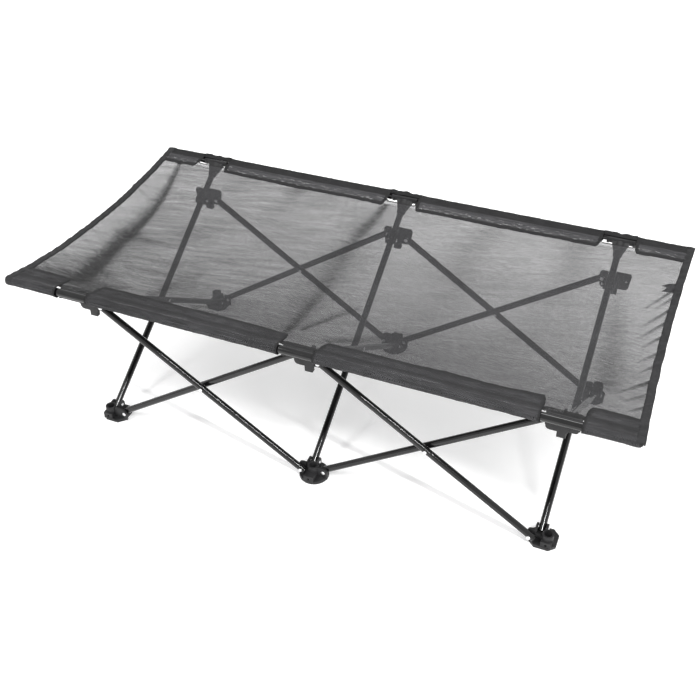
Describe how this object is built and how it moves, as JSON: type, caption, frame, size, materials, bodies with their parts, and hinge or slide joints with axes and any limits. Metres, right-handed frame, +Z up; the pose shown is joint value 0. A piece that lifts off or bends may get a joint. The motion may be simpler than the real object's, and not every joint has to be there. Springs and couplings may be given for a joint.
{
  "type": "folding cot",
  "caption": "Low folding cot: crossed steel tube legs at three stations, crossed side tubes with moulded hubs and feet, and a sheer mesh cover sleeved on two rails.",
  "frame": {"origin": "on the floor below the middle of the cot", "axes": "+X along the length, +Z up, -Y towards the side named near"},
  "size_m": [1.2256, 0.6264, 0.3749],
  "materials": {
    "tube_paint": "gloss black powder coat",
    "moulded_plastic": "satin black moulding",
    "rivet_steel": "bright rivet",
    "mesh_cloth": "sheer open mesh",
    "sleeve_cloth": "doubled mesh with sewn hems",
    "binding_tape": "woven edge tape"
  },
  "bodies": {
    "foot_near_left": {"foot_near_left": "moulded_plastic", "foot_pin_near_left": "rivet_steel"},
    "hub_near_left": {"hub_near_left": "moulded_plastic"},
    "foot_far_left": {"foot_far_left": "moulded_plastic", "foot_pin_far_left": "rivet_steel"},
    "hub_far_left": {"hub_far_left": "moulded_plastic"},
    "cross_tube_a_left": {"cross_tube_a_left": "tube_paint", "saddle_far_left": "moulded_plastic", "cross_rivet_left": "rivet_steel"},
    "cross_tube_b_left": {"cross_tube_b_left": "tube_paint", "saddle_near_left": "moulded_plastic"},
    "foot_near_mid": {"foot_near_mid": "moulded_plastic", "foot_pin_near_mid": "rivet_steel"},
    "hub_near_mid": {"hub_near_mid": "moulded_plastic"},
    "foot_far_mid": {"foot_far_mid": "moulded_plastic", "foot_pin_far_mid": "rivet_steel"},
    "hub_far_mid": {"hub_far_mid": "moulded_plastic"},
    "cross_tube_a_mid": {"cross_tube_a_mid": "tube_paint", "saddle_far_mid": "moulded_plastic"},
    "cross_tube_b_mid": {"cross_tube_b_mid": "tube_paint", "saddle_near_mid": "moulded_plastic"},
    "cross_rivet_mid": {"cross_rivet_mid": "rivet_steel"},
    "foot_near_right": {"foot_near_right": "moulded_plastic", "foot_pin_near_right": "rivet_steel"},
    "hub_near_right": {"hub_near_right": "moulded_plastic"},
    "foot_far_right": {"foot_far_right": "moulded_plastic", "foot_pin_far_right": "rivet_steel"},
    "hub_far_right": {"hub_far_right": "moulded_plastic"},
    "cross_tube_a_right": {"cross_tube_a_right": "tube_paint", "saddle_far_right": "moulded_plastic", "cross_rivet_right": "rivet_steel"},
    "cross_tube_b_right": {"cross_tube_b_right": "tube_paint", "saddle_near_right": "moulded_plastic"},
    "side_tube_near_left_outer": {"side_tube_near_left_outer": "tube_paint", "side_rivet_near_left": "rivet_steel"},
    "side_tube_near_left_inner": {"side_tube_near_left_inner": "tube_paint"},
    "side_tube_near_right_outer": {"side_tube_near_right_outer": "tube_paint"},
    "side_tube_near_right_inner": {"side_tube_near_right_inner": "tube_paint", "side_rivet_near_right": "rivet_steel"},
    "side_tube_far_left_outer": {"side_tube_far_left_outer": "tube_paint"},
    "side_tube_far_left_inner": {"side_tube_far_left_inner": "tube_paint", "side_rivet_far_left": "rivet_steel"},
    "side_tube_far_right_outer": {"side_tube_far_right_outer": "tube_paint", "side_rivet_far_right": "rivet_steel"},
    "side_tube_far_right_inner": {"side_tube_far_right_inner": "tube_paint"},
    "cover": {"rail_near": "tube_paint", "rail_far": "tube_paint", "rail_cap_near_left": "moulded_plastic", "rail_cap_near_right": "moulded_plastic", "rail_cap_far_left": "moulded_plastic", "rail_cap_far_right": "moulded_plastic", "sleeve_near": "sleeve_cloth", "sleeve_far": "sleeve_cloth", "mesh_panel": "mesh_cloth", "end_binding_left": "binding_tape", "end_binding_right": "binding_tape", "pull_tab": "binding_tape"}
  },
  "joints": [
    {"name": "frame_fold", "type": "hinge", "parent": "foot_near_mid", "child": "cross_tube_a_mid", "pos_m": [-0.0075, -0.21439, 0.018], "axis": [1, 0, 0], "range_deg": [0, 50]},
    {"name": "cross_pivot_mid", "type": "hinge", "parent": "cross_tube_a_mid", "child": "cross_tube_b_mid", "pos_m": [0, 0, 0.16152], "axis": [1, 0, 0], "range_deg": [-100, 0]},
    {"name": "foot_far_pivot_mid", "type": "hinge", "parent": "cross_tube_b_mid", "child": "foot_far_mid", "pos_m": [0.0075, 0.21439, 0.018], "axis": [1, 0, 0], "range_deg": [0, 50]},
    {"name": "hub_far_pivot_mid", "type": "hinge", "parent": "cross_tube_a_mid", "child": "hub_far_mid", "pos_m": [-0.0075, 0.21439, 0.30505], "axis": [1, 0, 0], "range_deg": [-50, 0]},
    {"name": "hub_near_pivot_mid", "type": "hinge", "parent": "cross_tube_b_mid", "child": "hub_near_mid", "pos_m": [0.0075, -0.21439, 0.30505], "axis": [1, 0, 0], "range_deg": [0, 50]},
    {"name": "cross_rivet_turn_mid", "type": "hinge", "parent": "cross_tube_a_mid", "child": "cross_rivet_mid", "pos_m": [0, 0, 0.16152], "axis": [1, 0, 0], "range_deg": [-50, 0]},
    {"name": "side_pivot_near_left_outer", "type": "hinge", "parent": "foot_near_mid", "child": "side_tube_near_left_outer", "pos_m": [-0.023, -0.24389, 0.018], "axis": [0, 1, 0], "range_deg": [0, 50]},
    {"name": "side_cross_near_left", "type": "hinge", "parent": "side_tube_near_left_outer", "child": "side_tube_near_left_inner", "pos_m": [-0.23739, -0.23639, 0.16152], "axis": [0, 1, 0], "range_deg": [-100, 0]},
    {"name": "foot_near_pivot_left", "type": "hinge", "parent": "side_tube_near_left_inner", "child": "foot_near_left", "pos_m": [-0.45179, -0.22889, 0.018], "axis": [0, 1, 0], "range_deg": [0, 50]},
    {"name": "side_pivot_near_right_inner", "type": "hinge", "parent": "foot_near_mid", "child": "side_tube_near_right_inner", "pos_m": [0.023, -0.22889, 0.018], "axis": [0, 1, 0], "range_deg": [-50, 0]},
    {"name": "side_cross_near_right", "type": "hinge", "parent": "side_tube_near_right_inner", "child": "side_tube_near_right_outer", "pos_m": [0.23739, -0.23639, 0.16152], "axis": [0, 1, 0], "range_deg": [0, 100]},
    {"name": "foot_near_pivot_right", "type": "hinge", "parent": "side_tube_near_right_outer", "child": "foot_near_right", "pos_m": [0.45179, -0.24389, 0.018], "axis": [0, 1, 0], "range_deg": [-50, 0]},
    {"name": "side_pivot_far_left_inner", "type": "hinge", "parent": "foot_far_mid", "child": "side_tube_far_left_inner", "pos_m": [-0.023, 0.22889, 0.018], "axis": [0, 1, 0], "range_deg": [0, 50]},
    {"name": "side_cross_far_left", "type": "hinge", "parent": "side_tube_far_left_inner", "child": "side_tube_far_left_outer", "pos_m": [-0.23739, 0.23639, 0.16152], "axis": [0, 1, 0], "range_deg": [-100, 0]},
    {"name": "side_pivot_far_right_outer", "type": "hinge", "parent": "foot_far_mid", "child": "side_tube_far_right_outer", "pos_m": [0.023, 0.24389, 0.018], "axis": [0, 1, 0], "range_deg": [-50, 0]},
    {"name": "side_cross_far_right", "type": "hinge", "parent": "side_tube_far_right_outer", "child": "side_tube_far_right_inner", "pos_m": [0.23739, 0.23639, 0.16152], "axis": [0, 1, 0], "range_deg": [0, 100]},
    {"name": "cross_foot_pivot_left", "type": "hinge", "parent": "foot_near_left", "child": "cross_tube_a_left", "pos_m": [-0.48229, -0.21439, 0.018], "axis": [1, 0, 0], "range_deg": [0, 50]},
    {"name": "cross_pivot_left", "type": "hinge", "parent": "cross_tube_a_left", "child": "cross_tube_b_left", "pos_m": [-0.47479, 0, 0.16152], "axis": [1, 0, 0], "range_deg": [-100, 0]},
    {"name": "foot_far_pivot_left", "type": "hinge", "parent": "cross_tube_b_left", "child": "foot_far_left", "pos_m": [-0.46729, 0.21439, 0.018], "axis": [1, 0, 0], "range_deg": [0, 50]},
    {"name": "hub_far_pivot_left", "type": "hinge", "parent": "cross_tube_a_left", "child": "hub_far_left", "pos_m": [-0.48229, 0.21439, 0.30505], "axis": [1, 0, 0], "range_deg": [-50, 0]},
    {"name": "hub_near_pivot_left", "type": "hinge", "parent": "cross_tube_b_left", "child": "hub_near_left", "pos_m": [-0.46729, -0.21439, 0.30505], "axis": [1, 0, 0], "range_deg": [0, 50]},
    {"name": "cross_foot_pivot_right", "type": "hinge", "parent": "foot_near_right", "child": "cross_tube_a_right", "pos_m": [0.46729, -0.21439, 0.018], "axis": [1, 0, 0], "range_deg": [0, 50]},
    {"name": "cross_pivot_right", "type": "hinge", "parent": "cross_tube_a_right", "child": "cross_tube_b_right", "pos_m": [0.47479, 0, 0.16152], "axis": [1, 0, 0], "range_deg": [-100, 0]},
    {"name": "foot_far_pivot_right", "type": "hinge", "parent": "cross_tube_b_right", "child": "foot_far_right", "pos_m": [0.48229, 0.21439, 0.018], "axis": [1, 0, 0], "range_deg": [0, 50]},
    {"name": "hub_far_pivot_right", "type": "hinge", "parent": "cross_tube_a_right", "child": "hub_far_right", "pos_m": [0.46729, 0.21439, 0.30505], "axis": [1, 0, 0], "range_deg": [-50, 0]},
    {"name": "hub_near_pivot_right", "type": "hinge", "parent": "cross_tube_b_right", "child": "hub_near_right", "pos_m": [0.48229, -0.21439, 0.30505], "axis": [1, 0, 0], "range_deg": [0, 50]},
    {"name": "cover_lift", "type": "slide", "parent": "cross_rivet_mid", "child": "cover", "axis": [0, 0, 1], "range_m": [0, 0.42]}
  ],
  "couplings": [
    {"joint": "cross_pivot_mid", "follows": "frame_fold", "ratio": -2},
    {"joint": "foot_far_pivot_mid", "follows": "frame_fold", "ratio": 1},
    {"joint": "hub_far_pivot_mid", "follows": "frame_fold", "ratio": -1},
    {"joint": "hub_near_pivot_mid", "follows": "frame_fold", "ratio": 1},
    {"joint": "cross_rivet_turn_mid", "follows": "frame_fold", "ratio": -1},
    {"joint": "side_pivot_near_left_outer", "follows": "frame_fold", "ratio": 1},
    {"joint": "side_cross_near_left", "follows": "frame_fold", "ratio": -2},
    {"joint": "foot_near_pivot_left", "follows": "frame_fold", "ratio": 1},
    {"joint": "side_pivot_near_right_inner", "follows": "frame_fold", "ratio": -1},
    {"joint": "side_cross_near_right", "follows": "frame_fold", "ratio": 2},
    {"joint": "foot_near_pivot_right", "follows": "frame_fold", "ratio": -1},
    {"joint": "side_pivot_far_left_inner", "follows": "frame_fold", "ratio": 1},
    {"joint": "side_cross_far_left", "follows": "frame_fold", "ratio": -2},
    {"joint": "side_pivot_far_right_outer", "follows": "frame_fold", "ratio": -1},
    {"joint": "side_cross_far_right", "follows": "frame_fold", "ratio": 2},
    {"joint": "cross_foot_pivot_left", "follows": "frame_fold", "ratio": 1},
    {"joint": "cross_pivot_left", "follows": "frame_fold", "ratio": -2},
    {"joint": "foot_far_pivot_left", "follows": "frame_fold", "ratio": 1},
    {"joint": "hub_far_pivot_left", "follows": "frame_fold", "ratio": -1},
    {"joint": "hub_near_pivot_left", "follows": "frame_fold", "ratio": 1},
    {"joint": "cross_foot_pivot_right", "follows": "frame_fold", "ratio": 1},
    {"joint": "cross_pivot_right", "follows": "frame_fold", "ratio": -2},
    {"joint": "foot_far_pivot_right", "follows": "frame_fold", "ratio": 1},
    {"joint": "hub_far_pivot_right", "follows": "frame_fold", "ratio": -1},
    {"joint": "hub_near_pivot_right", "follows": "frame_fold", "ratio": 1},
    {"joint": "cover_lift", "follows": "frame_fold", "m_per_rad": 0.48}
  ]
}
